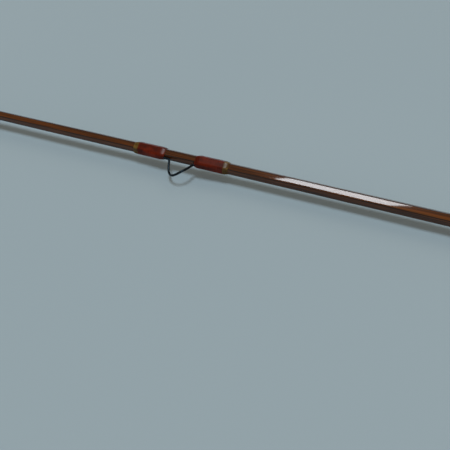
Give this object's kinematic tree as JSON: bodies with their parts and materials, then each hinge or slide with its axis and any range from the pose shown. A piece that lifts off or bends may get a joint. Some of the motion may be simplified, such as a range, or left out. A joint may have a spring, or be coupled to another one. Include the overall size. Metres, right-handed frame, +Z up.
{
  "type": "fly rod",
  "caption": "Two-section split-cane fly rod with cork grip, screw reel seat, wire snake guides and a ring stripping guide.",
  "frame": {"origin": "centre of the butt cap's flat end face, on the rod's axis", "axes": "+X points out of the butt along the rod, so the tip is at -X; -Y is the side that the guides and the reel face; +Z is up with the rod lying on its side"},
  "size_m": [2.134, 0.0338, 0.0242],
  "materials": {
    "varnished_cane": "glossy varnish over dark flamed bamboo",
    "silk_wrap": "dark red silk thread sealed under gloss varnish",
    "guide_wire": "blued steel wire",
    "nickel_silver": "polished nickel silver",
    "agate": "polished banded agate",
    "cork": "sanded natural cork",
    "seat_wood": "oiled walnut under satin varnish",
    "plug_wood": "plain sealed wood"
  },
  "bodies": {
    "butt_section": {"butt_cap": "nickel_silver", "threaded_barrel": "nickel_silver", "wood_insert": "seat_wood", "fixed_hood": "nickel_silver", "cork_ring_01": "cork", "cork_ring_02": "cork", "cork_ring_03": "cork", "cork_ring_04": "cork", "cork_ring_05": "cork", "cork_ring_06": "cork", "cork_ring_07": "cork", "cork_ring_08": "cork", "cork_ring_09": "cork", "cork_ring_10": "cork", "cork_ring_11": "cork", "cork_ring_12": "cork", "winding_check": "nickel_silver", "butt_cane_strip_1": "varnished_cane", "butt_cane_strip_2": "varnished_cane", "butt_cane_strip_3": "varnished_cane", "butt_cane_strip_4": "varnished_cane", "butt_cane_strip_5": "varnished_cane", "butt_cane_strip_6": "varnished_cane", "hook_keeper_strap": "nickel_silver", "hook_keeper_wraps": "silk_wrap", "stripping_guide_frame": "nickel_silver", "stripping_guide_ring": "agate", "stripping_guide_wraps": "silk_wrap", "snake_guide_7": "guide_wire", "snake_guide_7_wraps": "silk_wrap", "female_ferrule_wrap": "silk_wrap", "female_ferrule": "nickel_silver", "water_plug": "plug_wood"},
    "tip_section": {"tip_cane_strip_1": "varnished_cane", "tip_cane_strip_2": "varnished_cane", "tip_cane_strip_3": "varnished_cane", "tip_cane_strip_4": "varnished_cane", "tip_cane_strip_5": "varnished_cane", "tip_cane_strip_6": "varnished_cane", "male_ferrule": "nickel_silver", "male_ferrule_wrap": "silk_wrap", "snake_guide_1": "guide_wire", "snake_guide_1_wraps": "silk_wrap", "snake_guide_2": "guide_wire", "snake_guide_2_wraps": "silk_wrap", "snake_guide_3": "guide_wire", "snake_guide_3_wraps": "silk_wrap", "snake_guide_4": "guide_wire", "snake_guide_4_wraps": "silk_wrap", "snake_guide_5": "guide_wire", "snake_guide_5_wraps": "silk_wrap", "snake_guide_6": "guide_wire", "snake_guide_6_wraps": "silk_wrap", "tip_top_tube": "nickel_silver", "tip_top_loop": "guide_wire", "tip_top_wrap": "silk_wrap"},
    "sliding_hood": {"sliding_hood": "nickel_silver"},
    "lock_nut": {"lock_nut": "nickel_silver"},
    "hook_keeper_ring": {"hook_keeper_ring": "nickel_silver"}
  },
  "joints": [
    {"name": "tip_section_slide", "type": "slide", "parent": "butt_section", "child": "tip_section", "axis": [-1, 0, 0], "range_m": [0, 0.05]},
    {"name": "hood_slide", "type": "slide", "parent": "butt_section", "child": "sliding_hood", "axis": [-1, 0, 0], "range_m": [0, 0.015]},
    {"name": "lock_nut_turn", "type": "hinge", "parent": "sliding_hood", "child": "lock_nut", "pos_m": [-0.0265, 0, 0], "axis": [-1, 0, 0], "range_deg": [0, 3600]},
    {"name": "hook_keeper_swing", "type": "hinge", "parent": "butt_section", "child": "hook_keeper_ring", "pos_m": [-0.3, -0.00502, 0], "axis": [0, 0, 1], "range_deg": [-60, 60]}
  ],
  "couplings": [
    {"joint": "hood_slide", "follows": "lock_nut_turn", "m_per_rad": 0.00023873}
  ]
}
